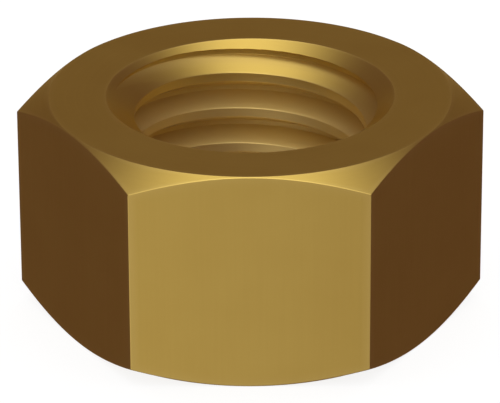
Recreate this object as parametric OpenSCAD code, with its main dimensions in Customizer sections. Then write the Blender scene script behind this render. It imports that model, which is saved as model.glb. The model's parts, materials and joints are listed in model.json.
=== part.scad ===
// Hexagon nut with an M12 x 1.75 right-hand thread, chamfered and countersunk at both ends.
// The nut stands on its lower bearing face, centred on the thread axis, with a flat facing -Y.
// All lengths are in millimetres.

/* [Hexagon] */
// Width across the flats, which is the spanner size
across_flats = 18; // [17.8:0.01:18.2]
// Height from one bearing face to the other
nut_height = 10; // [8:0.01:12]

/* [Corner chamfers] */
// Diameter of each bearing face, where the corner chamfer begins
bearing_face_d = 17.9; // [16.6:0.1:17.9]
// Slope of the corner chamfer below the plane of the bearing face, in degrees
corner_chamfer_angle = 30; // [15:1:40]

/* [Thread] */
// Nominal diameter of the thread
thread_d = 12; // [11:0.5:12]
// Distance from one turn of the thread to the next
thread_pitch = 1.75; // [1.25:0.25:2]
// How much larger than the basic thread form the tap cuts, on the diameter
tap_allowance = 0.2; // [0:0.01:0.3]
// Direction from the axis at which the middle of the groove comes out of the top face
groove_exit_angle = 198; // [0:1:359]
// Straight steps that make up one turn of the groove
steps_per_turn = 48; // [24:12:72]

/* [Countersinks] */
// Diameter of each countersink in the bearing face
countersink_d = 12.84; // [12.6:0.01:13.4]
// Angle between the opposite sides of the countersink, in degrees
countersink_angle = 105; // [90:1:120]

/* [Hidden] */

// Smoothness of the round surfaces
$fn = 96;

// How far a cutting tool runs past the surface that it cuts
overrun = 1;

// The hexagon's corners
across_corners = across_flats / cos(30);

// The basic thread form is a triangle with 60 degree sides, cut off by an eighth of the pitch
// at the bottom of the groove and by a quarter of the pitch at the crest
flank_slope = tan(30);
sharp_thread_height = thread_pitch * cos(30);
thread_depth = 5 / 8 * sharp_thread_height;
groove_bottom_width = thread_pitch / 8;
crest_width = thread_pitch / 4;
groove_bottom_r = (thread_d + tap_allowance) / 2;
bore_r = groove_bottom_r - thread_depth;
// How much farther out two opposite quarters of the bore are cut
quarter_step = 0.002;

// The groove cutter widens past the bore wall, but stops short of the cutter's next turn
cutter_reach = 0.7 * crest_width / 2 / flank_slope;
cutter_inner_r = bore_r - cutter_reach;
cutter_inner_half_width = groove_bottom_width / 2 + (thread_depth + cutter_reach) * flank_slope;

// The groove cutter begins a pitch and a half below the nut and ends as far above it
cutter_bottom_z = -1.5 * thread_pitch;
cutter_top_z = nut_height + 1.5 * thread_pitch;
cutter_start_angle = groove_exit_angle + (cutter_bottom_z - nut_height) / thread_pitch * 360;
cutter_steps = ceil((cutter_top_z - cutter_bottom_z) / thread_pitch * steps_per_turn);

// One corner of the groove's section, a number of steps along the helix
function groove_point(radius, lift, step) =
    let (turned = cutter_start_angle + step * 360 / steps_per_turn)
    [radius * cos(turned), radius * sin(turned),
     cutter_bottom_z + step * thread_pitch / steps_per_turn + lift];

// The four corners of the groove's section: inner low, outer low, outer high, inner high
function groove_section(step) = [
    groove_point(cutter_inner_r, -cutter_inner_half_width, step),
    groove_point(groove_bottom_r, -groove_bottom_width / 2, step),
    groove_point(groove_bottom_r, groove_bottom_width / 2, step),
    groove_point(cutter_inner_r, cutter_inner_half_width, step)
];

// The two triangles that join one side of a section to the same side of the next section
function side_triangles(step, side) =
    let (
        near = 4 * step + side,
        near_next = 4 * step + (side + 1) % 4,
        far = near + 4,
        far_next = near_next + 4
    )
    [[near, near_next, far_next], [near, far_next, far]];

module thread_groove() {
    points = [for (step = [0:cutter_steps]) each groove_section(step)];
    sides = [for (step = [0:cutter_steps - 1], side = [0:3]) each side_triangles(step, side)];
    last = 4 * cutter_steps;
    ends = [[3, 2, 1, 0], [last, last + 1, last + 2, last + 3]];
    polyhedron(points = points, faces = concat(sides, ends));
}

// Hexagon whose corners are turned off at both ends by a shallow cone
module chamfered_hexagon() {
    face_r = bearing_face_d / 2;
    rim_r = across_corners / 2 + overrun;
    drop = (rim_r - face_r) * tan(corner_chamfer_angle);
    intersection() {
        cylinder(h = nut_height, d = across_corners, $fn = 6);
        rotate_extrude()
            polygon([
                [0, 0],
                [face_r, 0],
                [rim_r, drop],
                [rim_r, nut_height - drop],
                [face_r, nut_height],
                [0, nut_height]
            ]);
    }
}

// Bore at the thread's crests, opening into a countersink at each end
module countersunk_bore() {
    mouth_r = countersink_d / 2;
    steepness = 1 / tan(countersink_angle / 2);
    depth = (mouth_r - bore_r) * steepness;
    outer_r = mouth_r + overrun / steepness;
    rotate_extrude()
        polygon([
            [0, -overrun],
            [outer_r, -overrun],
            [bore_r, depth],
            [bore_r, nut_height - depth],
            [outer_r, nut_height + overrun],
            [0, nut_height + overrun]
        ]);
}

// Two opposite quarters of the bore cut a little farther out, so that each strip of wall between
// the turns of the groove ends after a quarter turn
module bore_quarters() {
    for (turned = [0, 180])
        rotate([0, 0, turned])
            rotate_extrude(angle = 90)
                square([bore_r + quarter_step, nut_height]);
}

module hex_nut() {
    color([0.78, 0.6, 0.27])
        difference() {
            chamfered_hexagon();
            countersunk_bore();
            bore_quarters();
            thread_groove();
        }
}

hex_nut();
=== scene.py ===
import json
import math

import bpy
import numpy as np
from mathutils import Matrix, Vector


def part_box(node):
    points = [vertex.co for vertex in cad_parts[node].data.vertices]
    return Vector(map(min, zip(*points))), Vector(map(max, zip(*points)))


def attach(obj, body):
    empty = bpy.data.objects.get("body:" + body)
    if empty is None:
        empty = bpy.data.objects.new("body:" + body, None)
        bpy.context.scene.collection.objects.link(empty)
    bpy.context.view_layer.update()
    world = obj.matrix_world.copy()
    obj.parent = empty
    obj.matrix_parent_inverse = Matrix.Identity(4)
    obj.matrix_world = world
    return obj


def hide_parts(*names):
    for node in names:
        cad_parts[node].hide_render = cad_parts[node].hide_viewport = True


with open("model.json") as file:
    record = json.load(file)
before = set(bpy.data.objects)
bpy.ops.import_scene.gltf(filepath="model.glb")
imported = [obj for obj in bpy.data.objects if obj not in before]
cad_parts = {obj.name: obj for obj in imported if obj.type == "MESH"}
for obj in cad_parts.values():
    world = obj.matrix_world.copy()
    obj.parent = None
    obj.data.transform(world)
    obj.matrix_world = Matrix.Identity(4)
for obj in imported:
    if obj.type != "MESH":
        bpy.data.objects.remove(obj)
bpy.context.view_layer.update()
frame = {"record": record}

MM = 0.001
SIXTH = math.pi / 3
FLANK_SLOPE = math.tan(math.radians(30))

# ---- Sizes from the frame ----

low_corner, high_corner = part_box("hex_nut")
HEIGHT = high_corner.z - low_corner.z
HALF_ACROSS_FLATS = high_corner.y
thread_mount = next(m for m in frame["record"]["mounts"] if m["name"] == "thread")
BORE_R = thread_mount["dims"]["r_mm"] * MM
BORE_LENGTH = thread_mount["dims"]["length_mm"] * MM

# ---- Sizes of the same shape that the frame doesn't state ----

# M12 coarse thread, and half the groove's width at the crests and at its bottom
PITCH = 1.75 * MM
GROOVE_TOP = 3 / 8 * PITCH
GROOVE_BOTTOM = 1 / 16 * PITCH
GROOVE_R = BORE_R + (GROOVE_TOP - GROOVE_BOTTOM) / FLANK_SLOPE
# Direction from the axis at which the middle of the groove comes out of the top face
GROOVE_EXIT = math.radians(198)
# Half the angle between the opposite sides of a countersink
COUNTERSINK_HALF_ANGLE = math.radians(52.5)
COUNTERSINK_DEPTH = (HEIGHT - BORE_LENGTH) / 2
MOUTH_R = BORE_R + COUNTERSINK_DEPTH * math.tan(COUNTERSINK_HALF_ANGLE)
# Radius at which a bearing face ends and the corner chamfer begins, and the chamfer's slope
FACE_R = 8.95 * MM
CHAMFER_SLOPE = math.radians(30)

# ---- How dull the thread is, and how much painted light makes it paler, from 0 to 1 ----

# The paler tone is painted light: it offsets the dark, deep-yellow shade that the hole's brass walls
# reflect into each other
# How deep in the hole the thread begins to turn dull and paler from painted light, and is fully so
DULL_AND_PAINTED_LIGHT_START = 1.1 * MM
DULL_AND_PAINTED_LIGHT_END = 2.1 * MM
# Above that, how dull the groove's bottom and the crests are, and how much painted light makes them paler
BOTTOM_DULL_AND_PAINTED_LIGHT = 0.4
CREST_DULL_AND_PAINTED_LIGHT = 0.3
# How far outside the countersink's cone the groove's bottom has its full dullness and painted light
DULL_AND_PAINTED_LIGHT_EDGE = 0.2 * MM

# ---- Rounding of the edges, which the CAD leaves sharp ----

CORNER_ROUNDING = 0.04 * MM
CHAMFER_ROUNDING = 0.065 * MM
FACE_ROUNDING = 0.07 * MM
MOUTH_ROUNDING = 0.06 * MM
# How much of the radius the rounding takes at the thread's crests
CREST_ROUNDING = 0.045 * MM
# The same at the groove's bottom, and where the thread meets the countersink
ROOT_ROUNDING = 0.01 * MM

# How near an edge the rows beside a rounded edge and the crests count as, where 1 is on the edge
BESIDE_EDGE = 0.4
ON_CREST = 0.5

# ---- Mesh steps ----

STEPS_PER_FLAT = 32
STEPS_PER_CORNER = 8
# Where the flat's rows lie between its upper edge and mid-height
FLAT_SHARES = [0.03, 0.1, 0.3, 0.6, 1]
# The countersink's top strip belongs to the outside's rows, down to this depth
SEAM_DEPTH = 0.06 * MM
# Rows nearer than this to the seam are left out
SEAM_GAP = 0.012 * MM
# Where the radii of the countersink and the thread differ by less than this, each step between two
# rows is divided into this many
NEAR_SINK_EDGE = 0.2 * MM
FINE_STEPS = 4


# ---- Shape of the outside ----

def wrapped(value, period):
    """The value brought to within half a period of zero."""
    return (value + period / 2) % period - period / 2


def column_angles():
    """Angles of the mesh's columns in order round the axis, close together over each rounded corner."""
    centre = (HALF_ACROSS_FLATS - CORNER_ROUNDING) / math.cos(SIXTH / 2)
    turn = np.linspace(-SIXTH / 2, SIXTH / 2, STEPS_PER_CORNER + 1)
    corner = np.arctan2(CORNER_ROUNDING * np.sin(turn), centre + CORNER_ROUNDING * np.cos(turn))
    flat = np.linspace(corner[-1], SIXTH + corner[0], STEPS_PER_FLAT + 1)
    beside_corner = (flat[1] - flat[0]) / 5
    first, last = flat[0] + beside_corner, flat[-1] - beside_corner
    one_side = np.concatenate([corner, [first], flat[1:-1], [last]])
    return np.concatenate([one_side + side * SIXTH for side in range(6)])


def hexagon_radius(angle):
    """Distance from the axis to the hexagon's outline, whose corners are rounded."""
    off_corner = np.abs(wrapped(angle, SIXTH))
    centre = (HALF_ACROSS_FLATS - CORNER_ROUNDING) / math.cos(SIXTH / 2)
    arc_end = math.atan2(CORNER_ROUNDING / 2, centre + CORNER_ROUNDING * math.cos(SIXTH / 2))
    sideways = centre * np.sin(off_corner)
    outwards = np.sqrt(np.maximum(CORNER_ROUNDING ** 2 - sideways ** 2, 0))
    rounded = centre * np.cos(off_corner) + outwards
    flat = HALF_ACROSS_FLATS / np.cos(SIXTH / 2 - off_corner)
    return np.where(off_corner < arc_end, rounded, flat)


def straight(start, end, shares):
    """Points at these shares of the straight line from start to end, each a (radius, height) pair."""
    run, rise = end[0] - start[0], end[1] - start[1]
    return [(start[0] + run * share, start[1] + rise * share) for share in shares]


def arc(centre, radius, slopes):
    """Points on a rounded edge at which the surface falls outwards at each slope."""
    middle, level = centre
    return [(middle + radius * math.sin(slope), level + radius * math.cos(slope)) for slope in slopes]


def upper_profile(angle):
    """Rows of the upper outside, from the countersink over the face and the chamfer to mid-height.

    Gives each row's radius and height at each angle, the slope at which it falls outwards, and how
    near an edge it is.
    """
    outline = hexagon_radius(angle)
    level = np.full_like(outline, HEIGHT)
    sink_slope = math.pi / 2 - COUNTERSINK_HALF_ANGLE
    rows, slopes, edges = [], [], []

    def add(points, slope, edge):
        rows.extend(points)
        slopes.extend(slope)
        edges.extend(edge)

    # Countersink and its rounded mouth
    mouth_cut = MOUTH_ROUNDING * math.tan(sink_slope / 2)
    seam = (MOUTH_R - SEAM_DEPTH * math.tan(COUNTERSINK_HALF_ANGLE), level - SEAM_DEPTH)
    turn = np.linspace(-sink_slope, 0, 5)
    mouth = arc((MOUTH_R + mouth_cut, level - MOUTH_ROUNDING), MOUTH_ROUNDING, turn)
    add([seam], [-sink_slope], [0])
    add(mouth, turn, [1] * 5)

    # Face and its rounded rim
    face_cut = FACE_ROUNDING * math.tan(CHAMFER_SLOPE / 2)
    turn = np.linspace(0, CHAMFER_SLOPE, 4)
    rim = arc((FACE_R - face_cut, level - FACE_ROUNDING), FACE_ROUNDING, turn)
    face_shares = [0.03, 0.1, 0.3, 0.5, 0.7, 0.9, 0.97]
    face_edges = [BESIDE_EDGE, 0, 0, 0, 0, 0, BESIDE_EDGE]
    add(straight(mouth[-1], rim[0], face_shares), [0] * 7, face_edges)
    add(rim, turn, [1] * 4)

    # Chamfer, and the rounded edge between it and the flats
    edge_cut = CHAMFER_ROUNDING * math.tan(math.pi / 4 - CHAMFER_SLOPE / 2)
    edge_level = level - (outline - FACE_R) * math.tan(CHAMFER_SLOPE)
    turn = np.linspace(CHAMFER_SLOPE, math.pi / 2, 6)
    brow = arc((outline - CHAMFER_ROUNDING, edge_level - edge_cut), CHAMFER_ROUNDING, turn)
    add(straight(rim[-1], brow[0], [0.2, 0.4, 0.6, 0.8]), [CHAMFER_SLOPE] * 4, [0] * 4)
    add(brow, turn, [1] * 6)

    # Flat, down to mid-height
    middle = (outline, level / 2)
    flat_rows = len(FLAT_SHARES)
    flat_edges = [BESIDE_EDGE] + [0] * (flat_rows - 1)
    add(straight(brow[-1], middle, FLAT_SHARES), [math.pi / 2] * flat_rows, flat_edges)

    radius = np.array([np.broadcast_to(r, outline.shape) for r, _ in rows])
    height = np.array([np.broadcast_to(z, outline.shape) for _, z in rows])
    return radius, height, np.array(slopes), np.array(edges, float)


def outside(angle):
    """Positions, normals and nearness to an edge for every row of the outside, top seam to bottom seam."""
    radius, height, slopes, edges = upper_profile(angle)
    step = 1e-5
    ahead, behind = upper_profile(angle + step), upper_profile(angle - step)
    radius_rate = (ahead[0] - behind[0]) / (2 * step)
    height_rate = (ahead[1] - behind[1]) / (2 * step)
    rise, run = np.sin(slopes)[:, None], np.cos(slopes)[:, None]
    normal = np.stack([radius * rise, -height_rate * run - radius_rate * rise, radius * run])
    corner = np.abs(wrapped(angle, SIXTH)) < SIXTH / 2 / STEPS_PER_FLAT
    steep = slopes > CHAMFER_SLOPE
    nearness = np.maximum(edges[:, None], corner[None, :] & steep[:, None])

    lower = slice(-2, None, -1)
    radius = np.concatenate([radius, radius[lower]])
    height = np.concatenate([height, HEIGHT - height[lower]])
    flipped = normal[:, lower] * np.array([1, 1, -1])[:, None, None]
    normal = np.concatenate([normal, flipped], axis=1)
    return radius, height, normal, np.concatenate([nearness, nearness[lower]])


# ---- Shape of the countersunk, threaded hole ----

def smooth_max(a, b, width):
    """The larger of two values, rounded over where they cross."""
    near = np.maximum(width - np.abs(a - b), 0) / width
    return np.maximum(a, b) + near * near * width / 4


def countersink_radius(height):
    """Radius of whichever countersink is wider at this height."""
    depth = np.minimum(HEIGHT - height, height)
    return MOUTH_R - depth * math.tan(COUNTERSINK_HALF_ANGLE)


def thread_radius(angle, height):
    """Radius of the thread: the groove's flat bottom, its two 60 degree flanks, and the flat crest."""
    turns = (height - HEIGHT) / PITCH - (angle - GROOVE_EXIT) / (2 * math.pi)
    off_groove = np.abs(wrapped(turns * PITCH, PITCH))
    flank = GROOVE_R - (off_groove - GROOVE_BOTTOM) / FLANK_SLOPE
    groove = -smooth_max(-GROOVE_R, -flank, ROOT_ROUNDING)
    return smooth_max(BORE_R, groove, CREST_ROUNDING)


def hole_radius(angle, height):
    """Radius of the hole's wall at this angle and height."""
    return smooth_max(thread_radius(angle, height), countersink_radius(height), ROOT_ROUNDING)


def groove_rows():
    """Heights, from the middle of the groove, of the mesh's rows over one pitch.

    They are close together at the rounded edges, and every step is divided into FINE_STEPS. The
    second result tells the rows that are always used.
    """
    rounded = FLANK_SLOPE * np.array([-1, -0.5, 0, 0.5, 1])
    flank = np.linspace(GROOVE_BOTTOM, GROOVE_TOP, 9)[1:-1]
    crest = np.linspace(GROOVE_TOP, PITCH / 2, 5)[1:-1]
    root_edge = GROOVE_BOTTOM + ROOT_ROUNDING * rounded
    crest_edge = GROOVE_TOP + CREST_ROUNDING * rounded
    above = np.concatenate([root_edge, flank, crest_edge, crest])
    rows = np.sort(np.concatenate([[0, PITCH / 2], above, -above]))
    steps = np.diff(np.append(rows, rows[0] + PITCH))
    fine = rows[:, None] + steps[:, None] * np.arange(FINE_STEPS) / FINE_STEPS
    return fine.ravel(), np.arange(fine.size) % FINE_STEPS == 0


def hole_columns(angles):
    """For each column, the numbers of the helical rows that it has and their heights."""
    rows, always = groove_rows()
    lowest, highest = SEAM_DEPTH + SEAM_GAP, HEIGHT - SEAM_DEPTH - SEAM_GAP
    turns = math.ceil(HEIGHT / PITCH) + 2
    number = np.arange(-turns * len(rows), 2 * len(rows))
    base = HEIGHT + number // len(rows) * PITCH + rows[number % len(rows)]
    columns = []
    for angle in angles:
        height = base + (angle - GROOVE_EXIT) / (2 * math.pi) * PITCH
        near = np.abs(thread_radius(angle, height) - countersink_radius(height)) < NEAR_SINK_EDGE
        kept = (height > lowest) & (height < highest) & (always[number % len(rows)] | near)
        columns.append((number[kept], height[kept]))
    return columns, len(rows)


def smooth_share(value, low, high):
    """How far the value is from low to high, from 0 to 1, starting and ending gently."""
    share = np.clip((value - low) / (high - low), 0, 1)
    return share * share * (3 - 2 * share)


def dullness_and_painted_light(radius, height):
    """How dull the hole's wall is, and how much painted light makes it paler: fully beyond the first turn,
    and partly above it.
    """
    beyond = smooth_share(np.minimum(height, HEIGHT - height), DULL_AND_PAINTED_LIGHT_START, DULL_AND_PAINTED_LIGHT_END)
    sunk = smooth_share(radius, BORE_R, GROOVE_R) ** 2
    past_sink = smooth_share(radius - countersink_radius(height), 0, DULL_AND_PAINTED_LIGHT_EDGE)
    on_crest = 1 - smooth_share(radius, BORE_R, BORE_R + CREST_ROUNDING)
    partly = BOTTOM_DULL_AND_PAINTED_LIGHT * sunk * past_sink + CREST_DULL_AND_PAINTED_LIGHT * on_crest
    return beyond + (1 - beyond) * partly


def hole_normals(angle, height):
    """Normals of the hole's wall, as (outwards, round, up) rows."""
    turn, lift = 1e-5, 1e-7
    radius = hole_radius(angle, height)
    rate_round = (hole_radius(angle + turn, height) - hole_radius(angle - turn, height)) / (2 * turn)
    rate_up = (hole_radius(angle, height + lift) - hole_radius(angle, height - lift)) / (2 * lift)
    return np.stack([-np.ones_like(height), rate_round / radius, rate_up])


# ---- Mesh ----

def round_the_axis(angle, outwards, around, up):
    """The x, y and z parts of vectors given as outwards, round the axis and up."""
    cos, sin = np.cos(angle), np.sin(angle)
    return np.stack([outwards * cos - around * sin, outwards * sin + around * cos, up], axis=-1)


def build_nut():
    """The nut as one closed mesh, with its own normals and a material for each kind of surface.

    Two attributes tell the materials how near an edge each point is, and how dull it is and how much
    painted light makes it paler.
    """
    angles = column_angles()
    count = len(angles)
    radius, height, normal, edge = outside(angles)
    row_count = len(radius)
    points = [round_the_axis(angles, radius, np.zeros_like(radius), height).reshape(-1, 3)]
    normals = [round_the_axis(angles, *normal).reshape(-1, 3)]
    edges = [edge.ravel()]
    dull_and_painted_light_values = [np.zeros(edge.size)]

    columns, rows_per_turn = hole_columns(angles)
    starts, start = [], row_count * count
    for angle, (_, level) in zip(angles, columns):
        wall = hole_radius(angle, level)
        points.append(round_the_axis(angle, wall, np.zeros_like(wall), level))
        normals.append(round_the_axis(angle, *hole_normals(angle, level)))
        crest = np.abs(wall - BORE_R) < CREST_ROUNDING
        edges.append(np.where(crest, ON_CREST, 0.0))
        dull_and_painted_light_values.append(dullness_and_painted_light(wall, level))
        starts.append(start)
        start += len(level)

    points = np.concatenate(points)
    normals = np.concatenate(normals)
    normals /= np.linalg.norm(normals, axis=1, keepdims=True)

    faces, kinds = outside_faces(row_count, count)
    more_faces, more_kinds = hole_faces(row_count, count, columns, starts, rows_per_turn, points)
    mesh = bpy.data.meshes.new("hex_nut")
    mesh.from_pydata(points.tolist(), [], faces + more_faces)
    mesh.polygons.foreach_set("material_index", kinds + more_kinds)
    mesh.shade_smooth()
    mesh.normals_split_custom_set_from_vertices(normals.tolist())
    for name, values in (("edge", edges), ("dull_and_painted_light", dull_and_painted_light_values)):
        attribute = mesh.attributes.new(name, "FLOAT", "POINT")
        attribute.data.foreach_set("value", np.concatenate(values).astype(np.float32))
    nut = bpy.data.objects.new("brass_hex_nut", mesh)
    bpy.context.scene.collection.objects.link(nut)
    return nut


TURNED, DRAWN, THREADED = 0, 1, 2


def outside_faces(row_count, count):
    """Quads of the outside, and which kind of surface each is."""
    faces, kinds = [], []
    flat_rows = len(FLAT_SHARES)
    middle = (row_count - 1) // 2
    for row in range(row_count - 1):
        on_flat = middle - flat_rows <= row < middle + flat_rows
        for column in range(count):
            following = (column + 1) % count
            here, below = row * count, (row + 1) * count
            faces.append((here + column, below + column, below + following, here + following))
            kinds.append(DRAWN if on_flat else TURNED)
    return faces, kinds


def hole_faces(row_count, count, columns, starts, rows_per_turn, points):
    """Faces of the hole's wall: quads along the helical rows, with more sides at a row's end or a seam.

    The second result tells which kind of surface each is.
    """
    faces = []
    bottom_seam = (row_count - 1) * count
    for column in range(count):
        following = (column + 1) % count
        shift = rows_per_turn if following == 0 else 0
        left, right = columns[column][0], columns[following][0] - shift
        common, at_left, at_right = np.intersect1d(left, right, return_indices=True)
        at_left, at_right = at_left + starts[column], at_right + starts[following]
        left_end, right_end = starts[column] + len(left), starts[following] + len(right)
        for k in range(len(common) - 1):
            up_left = range(at_left[k], at_left[k + 1] + 1)
            down_right = range(at_right[k + 1], at_right[k] - 1, -1)
            faces.append((*up_left, *down_right))
        up_left = range(at_left[-1], left_end)
        down_right = range(right_end - 1, at_right[-1] - 1, -1)
        faces.append((*up_left, column, following, *down_right))
        up_left = range(starts[column], at_left[0] + 1)
        down_right = range(at_right[0], starts[following] - 1, -1)
        faces.append((bottom_seam + column, *up_left, *down_right, bottom_seam + following))
    kinds = []
    for face in faces:
        middle = points[list(face)].mean(axis=0)
        angle = math.atan2(middle[1], middle[0])
        on_thread = thread_radius(angle, middle[2]) > countersink_radius(middle[2])
        kinds.append(THREADED if on_thread else TURNED)
    return faces, kinds


# ---- Materials ----

# Colours of the brass: its darker and lighter clouds, its tool marks, its edges, and the paler painted
# light deep in the hole and on the crests
CLOUD_DARK = (0.720, 0.516, 0.116, 1)
CLOUD_LIGHT = (0.745, 0.543, 0.126, 1)
MARK_COLOUR = (0.55, 0.35, 0.07, 1)
EDGE_COLOUR = (0.80, 0.60, 0.17, 1)
# Painted light: a paler, bluer tone deep in the hole and on the crests, offsetting the shade that the
# hole's walls reflect
PAINTED_LIGHT_COLOUR = (0.74, 0.555, 0.20, 1)
# Metallic share of the brass, and where it is dull
METALLIC = 0.932
DULL_METALLIC = 0.86
# How much rougher the brass is where it is dull
DULL_ROUGHNESS = 0.15
# Scale of the clouds, and of the tool marks round the axis and up the flats, per metre
CLOUD_SCALE = 350
RING_SCALE = 9000
LINE_SCALE = 7000
# The tool marks' scale along their own length is this share of that, so that they are drawn out
ALONG_MARKS = 0.02
# How deep the tool marks look
RING_DEPTH = 0.0006 * MM
LINE_DEPTH = 0.0004 * MM


class Nodes:
    """Short calls for making and linking the nodes of one tree."""

    def __init__(self, tree):
        self.tree = tree

    def add(self, kind, **settings):
        node = self.tree.nodes.new(kind)
        for name, value in settings.items():
            setattr(node, name, value)
        return node

    def put(self, value, socket):
        """Links value to the socket if it is a socket itself, and otherwise sets it."""
        if isinstance(value, bpy.types.NodeSocket):
            self.tree.links.new(value, socket)
        else:
            socket.default_value = value

    def math(self, operation, a, b=0.0):
        node = self.add("ShaderNodeMath", operation=operation)
        self.put(a, node.inputs[0])
        self.put(b, node.inputs[1])
        return node.outputs[0]

    def sum(self, a, b):
        node = self.add("ShaderNodeVectorMath", operation="ADD")
        self.put(a, node.inputs[0])
        self.put(b, node.inputs[1])
        return node.outputs[0]

    def scaled(self, vector, factor):
        node = self.add("ShaderNodeVectorMath", operation="SCALE")
        self.put(vector, node.inputs[0])
        self.put(factor, node.inputs["Scale"])
        return node.outputs[0]

    def dot(self, a, b):
        node = self.add("ShaderNodeVectorMath", operation="DOT_PRODUCT")
        self.put(a, node.inputs[0])
        self.put(b, node.inputs[1])
        return node.outputs["Value"]

    def between(self, value, low, high, out_low=0.0, out_high=1.0):
        """The value mapped from low..high to out_low..out_high, and held at the ends."""
        node = self.add("ShaderNodeMapRange")
        node.inputs["From Min"].default_value = low
        node.inputs["From Max"].default_value = high
        node.inputs["To Min"].default_value = out_low
        node.inputs["To Max"].default_value = out_high
        self.put(value, node.inputs["Value"])
        return node.outputs[0]

    def mix(self, share, a, b):
        node = self.add("ShaderNodeMix", data_type="RGBA")
        self.put(share, node.inputs["Factor"])
        self.put(a, node.inputs[6])
        self.put(b, node.inputs[7])
        return node.outputs[2]

    def noise(self, vector, scale, detail):
        node = self.add("ShaderNodeTexNoise")
        self.put(vector, node.inputs["Vector"])
        node.inputs["Scale"].default_value = scale
        node.inputs["Detail"].default_value = detail
        return node.outputs["Fac"]


def marks_round_the_axis(nodes, place):
    """Fine rings round the axis, as a lathe leaves: noise that changes quickly with the radius."""
    split = nodes.add("ShaderNodeSeparateXYZ")
    nodes.put(place, split.inputs[0])
    x, y, _ = split.outputs
    squares = nodes.math("ADD", nodes.math("MULTIPLY", x, x), nodes.math("MULTIPLY", y, y))
    radius = nodes.math("SQRT", squares)
    joined = nodes.add("ShaderNodeCombineXYZ")
    nodes.put(radius, joined.inputs[0])
    nodes.put(nodes.math("MULTIPLY", x, ALONG_MARKS), joined.inputs[1])
    nodes.put(nodes.math("MULTIPLY", y, ALONG_MARKS), joined.inputs[2])
    return nodes.noise(joined.outputs[0], RING_SCALE, 3.0)


def marks_along_the_axis(nodes, place):
    """Fine lines up the flats, as drawing the bar through a die leaves."""
    scaled = nodes.add("ShaderNodeVectorMath", operation="MULTIPLY")
    nodes.put(place, scaled.inputs[0])
    scaled.inputs[1].default_value = (1, 1, ALONG_MARKS)
    return nodes.noise(scaled.outputs[0], LINE_SCALE, 3.0)


def brass(name, marks, mark_depth):
    """Satin machined brass with fine tool marks, a little variation in colour, and brighter edges."""
    material = bpy.data.materials.new(name)
    material.use_nodes = True
    nodes = Nodes(material.node_tree)
    shader = material.node_tree.nodes["Principled BSDF"]
    shader.inputs["Metallic"].default_value = METALLIC
    shader.inputs["Specular Tint"].default_value = (0.95, 0.82, 0.45, 1)
    place = nodes.add("ShaderNodeTexCoord").outputs["Object"]
    edge = nodes.add("ShaderNodeAttribute", attribute_name="edge").outputs["Fac"]
    lines = marks(nodes, place)
    clouds = nodes.noise(place, CLOUD_SCALE, 4.0)

    tone = nodes.mix(nodes.between(clouds, 0.3, 0.7), CLOUD_DARK, CLOUD_LIGHT)
    tone = nodes.mix(nodes.between(lines, 0.3, 0.7, 0.0, 0.06), tone, MARK_COLOUR)
    tone = nodes.mix(nodes.math("MULTIPLY", edge, 0.5), tone, EDGE_COLOUR)
    nodes.put(tone, shader.inputs["Base Color"])

    rough = nodes.between(clouds, 0.3, 0.7, 0.29, 0.31)
    rough = nodes.math("ADD", rough, nodes.between(lines, 0.3, 0.7, -0.01, 0.01))
    nodes.put(rough, shader.inputs["Roughness"])

    bump = nodes.add("ShaderNodeBump")
    bump.inputs["Strength"].default_value = 1.0
    bump.inputs["Distance"].default_value = mark_depth
    nodes.put(lines, bump.inputs["Height"])
    nodes.put(bump.outputs[0], shader.inputs["Normal"])
    return material


def turned_brass():
    return brass("turned_brass", marks_round_the_axis, RING_DEPTH)


def drawn_brass():
    return brass("drawn_brass", marks_along_the_axis, LINE_DEPTH)


def threaded_brass():
    """The same brass, but rougher and less metallic where the thread is dull, and paler there with painted
    light.
    """
    material = brass("threaded_brass", marks_round_the_axis, RING_DEPTH)
    nodes = Nodes(material.node_tree)
    dull_and_painted_light = nodes.add("ShaderNodeAttribute", attribute_name="dull_and_painted_light").outputs["Fac"]
    shader = material.node_tree.nodes["Principled BSDF"]
    nodes.put(nodes.between(dull_and_painted_light, 0, 1, METALLIC, DULL_METALLIC), shader.inputs["Metallic"])
    rough = shader.inputs["Roughness"].links[0].from_socket
    rougher = nodes.math("ADD", rough, nodes.math("MULTIPLY", dull_and_painted_light, DULL_ROUGHNESS))
    nodes.put(rougher, shader.inputs["Roughness"])
    # Painted light: the tone turns paler where the thread is dull, offsetting the hole's reflected shade
    tone = shader.inputs["Base Color"].links[0].from_socket
    nodes.put(nodes.mix(dull_and_painted_light, tone, PAINTED_LIGHT_COLOUR), shader.inputs["Base Color"])
    return material


def floor_material():
    """Opal glass that is lit from below, as a light table is, so that the nut hardly darkens it."""
    material = bpy.data.materials.new("pale_floor")
    material.use_nodes = True
    shader = material.node_tree.nodes["Principled BSDF"]
    shader.inputs["Base Color"].default_value = (0.15, 0.15, 0.15, 1)
    shader.inputs["Roughness"].default_value = 1.0
    shader.inputs["Specular IOR Level"].default_value = 0.0
    shader.inputs["Emission Color"].default_value = (1, 1, 1, 1)
    shader.inputs["Emission Strength"].default_value = 0.86
    return material


# ---- Floor, light and camera ----

def make_floor():
    """A plain pale floor. The nut's flats show the studio below the horizon instead of the floor."""
    half = 1.5
    corners = [(-half, -half, 0), (half, -half, 0), (half, half, 0), (-half, half, 0)]
    mesh = bpy.data.meshes.new("floor")
    mesh.from_pydata(corners, [], [(0, 1, 2, 3)])
    mesh.materials.append(floor_material())
    floor = bpy.data.objects.new("floor", mesh)
    bpy.context.scene.collection.objects.link(floor)
    floor.visible_glossy = False
    floor.visible_shadow = False


# Dim, reddish light from all round, which keeps the darkest flats brown
SURROUNDINGS = (0.062, 0.007, 0.020)
# White light on all that isn't a reflection: the floor, what the camera sees past it, and the part
# of the brass that isn't metallic
EVEN_LIGHT = (1.40, 1.40, 1.40, 1)
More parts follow.
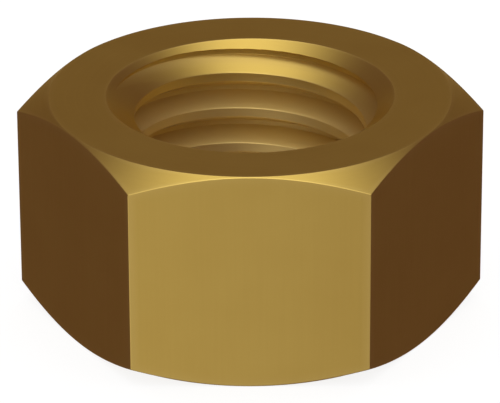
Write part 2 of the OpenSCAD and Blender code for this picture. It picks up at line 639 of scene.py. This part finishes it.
# Each soft bright area: the direction of its middle, how quickly it fades as a power of the cosine,
# its brightness, and the most that it gives
BRIGHT_AREAS = (
    # Softbox overhead
    ((0.0, 0.0, 1.0), 9.0, 1.45, 1.12),
    # Card low at the front left, and a dimmer one low behind the nut
    ((-0.45, -0.78, -0.50), 8, 0.99, 0.99),
    ((0.0, 0.93, -0.36), 12, 0.40, 0.40),
    # Dim wall behind the nut
    ((0.0, 0.91, 0.42), 6, 0.085, 0.085),
    # Softbox in front and above
    ((0.0, -0.80, 0.60), 10, 2.0, 2.0),
)


def make_studio():
    """The surroundings and the bright areas, which the brass reflects, and the even light."""
    world = bpy.data.worlds.new("studio")
    world.use_nodes = True
    bpy.context.scene.world = world
    nodes = Nodes(world.node_tree)
    direction = nodes.add("ShaderNodeTexCoord").outputs["Generated"]

    light = SURROUNDINGS
    for aim, fade, brightness, most in BRIGHT_AREAS:
        toward = Vector(aim).normalized()
        near = nodes.math("POWER", nodes.math("MAXIMUM", nodes.dot(direction, tuple(toward))), fade)
        given = nodes.math("MINIMUM", nodes.math("MULTIPLY", near, brightness), most)
        light = nodes.sum(light, nodes.scaled((1, 1, 1), given))

    path = nodes.add("ShaderNodeLightPath")
    even = nodes.math("MAXIMUM", path.outputs["Is Camera Ray"], path.outputs["Is Diffuse Ray"])
    background = world.node_tree.nodes["Background"]
    nodes.put(nodes.mix(even, light, EVEN_LIGHT), background.inputs["Color"])


# Direction from the nut to the camera, and how far the camera is turned about its own axis, in degrees
CAMERA_AZIMUTH = 0.29
CAMERA_ELEVATION = 24.68
CAMERA_ROLL = -0.27
CAMERA_DISTANCE = 192.5 * MM
# How far the camera is moved to its left and down, off the line through the middle of the nut
CAMERA_LEFT = 0.027 * MM
CAMERA_DOWN = 0.243 * MM
# In millimetres, as Blender takes them
LENS = 308.6
SENSOR_WIDTH = 36


def make_camera():
    """The main view: from the front and above, through a long lens."""
    azimuth, elevation = math.radians(CAMERA_AZIMUTH), math.radians(CAMERA_ELEVATION)
    level = math.cos(elevation)
    back = Vector((math.sin(azimuth) * level, -math.cos(azimuth) * level, math.sin(elevation)))
    right = Vector((0, 0, 1)).cross(back).normalized()
    up = back.cross(right)
    centre = (low_corner + high_corner) / 2
    place = centre + back * CAMERA_DISTANCE - right * CAMERA_LEFT - up * CAMERA_DOWN
    turn = Matrix((right, up, back)).transposed() @ Matrix.Rotation(math.radians(CAMERA_ROLL), 3, "Z")
    data = bpy.data.cameras.new("camera")
    data.lens = LENS
    data.sensor_width = SENSOR_WIDTH
    data.clip_start = 0.01
    data.clip_end = 10
    camera = bpy.data.objects.new("camera", data)
    camera.matrix_world = Matrix.Translation(place) @ turn.to_4x4()
    bpy.context.scene.collection.objects.link(camera)
    bpy.context.scene.camera = camera


# ---- Scene ----

nut = build_nut()
for make_material in (turned_brass, drawn_brass, threaded_brass):
    nut.data.materials.append(make_material())
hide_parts("hex_nut")
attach(nut, "root")

make_floor()
make_studio()
make_camera()
bpy.context.scene.view_settings.view_transform = "Standard"
